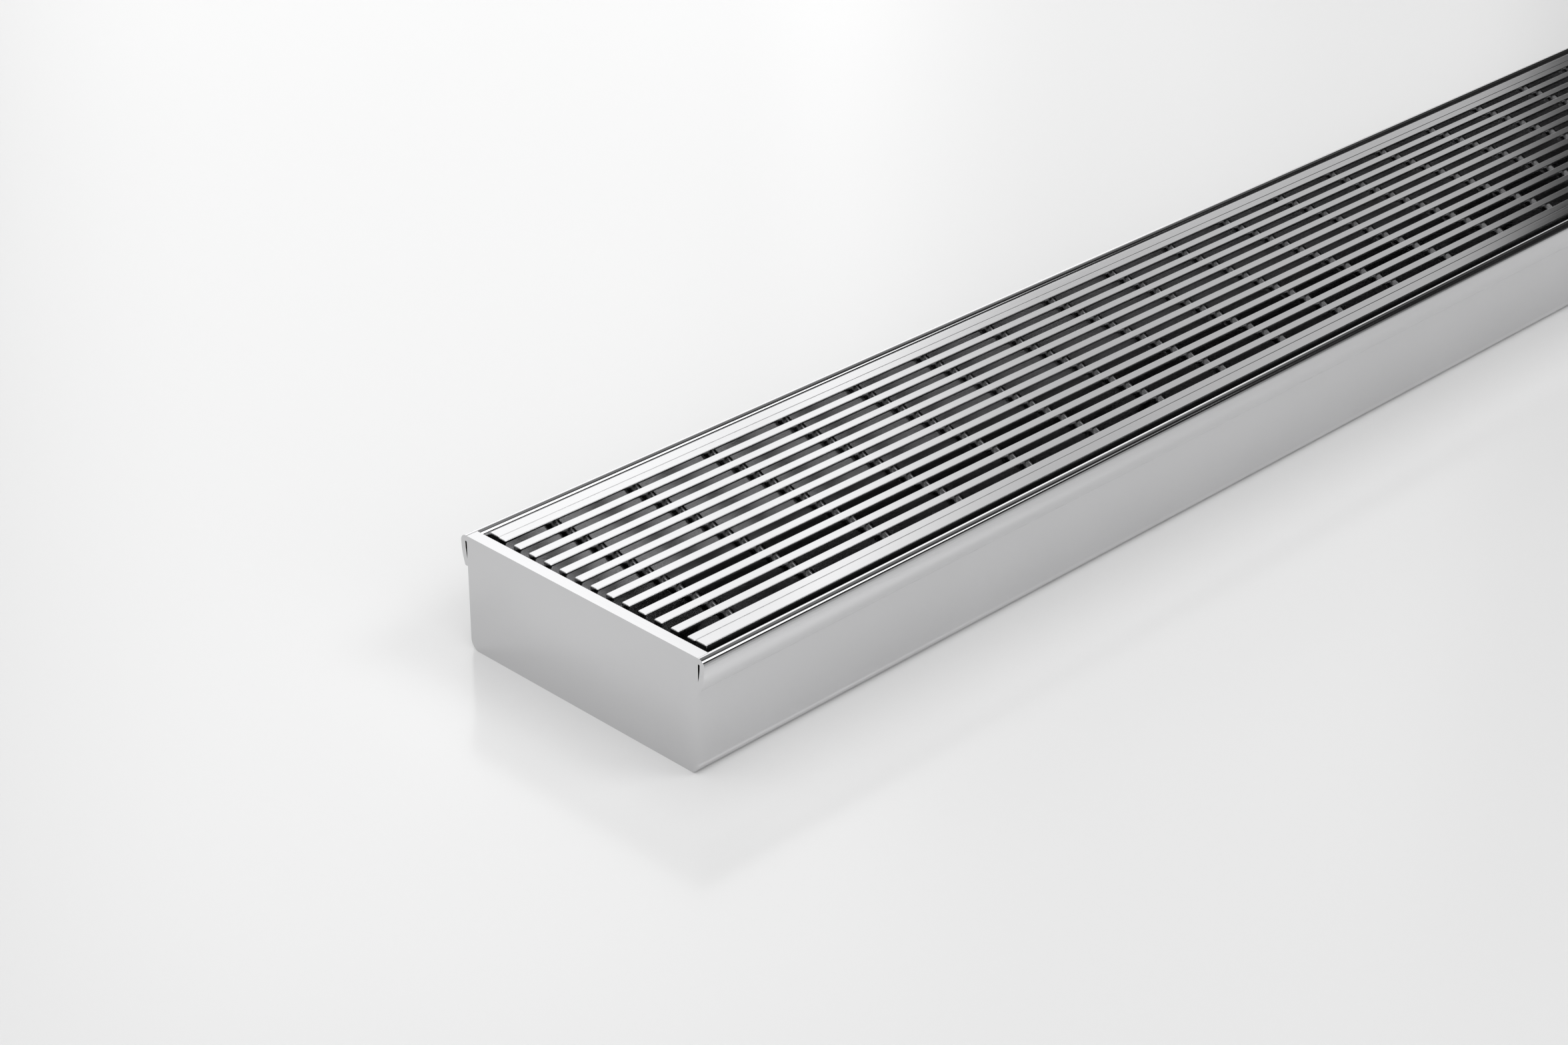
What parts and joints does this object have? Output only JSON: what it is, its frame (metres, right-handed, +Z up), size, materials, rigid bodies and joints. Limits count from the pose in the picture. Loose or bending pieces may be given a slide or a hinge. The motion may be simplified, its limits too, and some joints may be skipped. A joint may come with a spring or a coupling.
{
  "type": "linear drain",
  "caption": "Straight floor drain: folded steel channel with hemmed rims and end plates, holding a wedge wire grate level with the rim, with a round outlet in the floor near one end.",
  "frame": {"origin": "middle of the underside of the channel, on the surface that it rests on", "axes": "+X along the drain, with the end in the picture at -X; +Y across it; +Z up, towards the grate"},
  "size_m": [0.914, 0.1006, 0.0375],
  "materials": {
    "channel_sheet": "satin stainless steel sheet",
    "end_plates": "satin stainless steel plate",
    "side_bars": "satin stainless steel bar",
    "wires": "polished stainless steel wedge wire",
    "rods": "drawn stainless steel rod"
  },
  "bodies": {
    "root": {"channel": "channel_sheet", "end_plate_left": "end_plates", "end_plate_right": "end_plates", "side_bar_front": "side_bars", "side_bar_back": "side_bars", "foot_front_1": "side_bars", "foot_front_2": "side_bars", "foot_front_3": "side_bars", "foot_front_4": "side_bars", "foot_front_5": "side_bars", "foot_back_1": "side_bars", "foot_back_2": "side_bars", "foot_back_3": "side_bars", "foot_back_4": "side_bars", "foot_back_5": "side_bars", "wedge_wire_01": "wires", "wedge_wire_02": "wires", "wedge_wire_03": "wires", "wedge_wire_04": "wires", "wedge_wire_05": "wires", "wedge_wire_06": "wires", "wedge_wire_07": "wires", "wedge_wire_08": "wires", "wedge_wire_09": "wires", "wedge_wire_10": "wires", "wedge_wire_11": "wires", "edge_wire_front": "wires", "edge_wire_back": "wires", "cross_rod_01": "rods", "cross_rod_02": "rods", "cross_rod_03": "rods", "cross_rod_04": "rods", "cross_rod_05": "rods", "cross_rod_06": "rods", "cross_rod_07": "rods", "cross_rod_08": "rods", "cross_rod_09": "rods", "cross_rod_10": "rods", "cross_rod_11": "rods", "cross_rod_12": "rods", "cross_rod_13": "rods", "cross_rod_14": "rods", "cross_rod_15": "rods", "cross_rod_16": "rods", "cross_rod_17": "rods", "cross_rod_18": "rods", "cross_rod_19": "rods", "cross_rod_20": "rods", "cross_rod_21": "rods", "cross_rod_22": "rods", "cross_rod_23": "rods", "cross_rod_24": "rods", "cross_rod_25": "rods", "cross_rod_26": "rods", "cross_rod_27": "rods", "cross_rod_28": "rods"}
  },
  "joints": []
}
